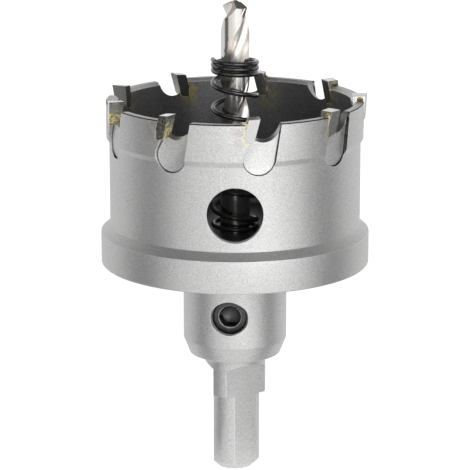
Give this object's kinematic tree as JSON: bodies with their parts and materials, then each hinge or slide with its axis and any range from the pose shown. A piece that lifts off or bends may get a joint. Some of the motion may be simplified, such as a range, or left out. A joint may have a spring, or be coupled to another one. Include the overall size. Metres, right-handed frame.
{
  "type": "hole saw",
  "caption": "Carbide-tipped hole saw: a turned steel cup on a three-flat shank, with a sprung pilot drill clamped in its hub by a grub screw.",
  "frame": {"origin": "centre of the shank's end face, on the saw's axis", "axes": "+Z along the axis from the shank's end towards the drill's point; -Y is the front, where one chip window and the grub screw are; the saw cuts turning anticlockwise seen from +Z"},
  "size_m": [0.0542, 0.0542, 0.0969],
  "materials": {
    "body_steel": "turned steel with a fine blasted satin grey finish",
    "carbide": "ground tungsten carbide",
    "braze": "dull gold silver-brazing filler",
    "drill_steel": "bright ground high-speed steel",
    "spring_steel": "glossy black spring steel",
    "screw_steel": "black oxide"
  },
  "bodies": {
    "root": {"cutter_body": "body_steel", "carbide_tip_1": "carbide", "carbide_tip_2": "carbide", "carbide_tip_3": "carbide", "carbide_tip_4": "carbide", "carbide_tip_5": "carbide", "carbide_tip_6": "carbide", "carbide_tip_7": "carbide", "carbide_tip_8": "carbide", "carbide_tip_9": "carbide", "braze_seam_1": "braze", "braze_seam_2": "braze", "braze_seam_3": "braze", "braze_seam_4": "braze", "braze_seam_5": "braze", "braze_seam_6": "braze", "braze_seam_7": "braze", "braze_seam_8": "braze", "braze_seam_9": "braze", "pilot_drill": "drill_steel", "ejector_spring": "spring_steel", "grub_screw": "screw_steel"}
  },
  "joints": []
}
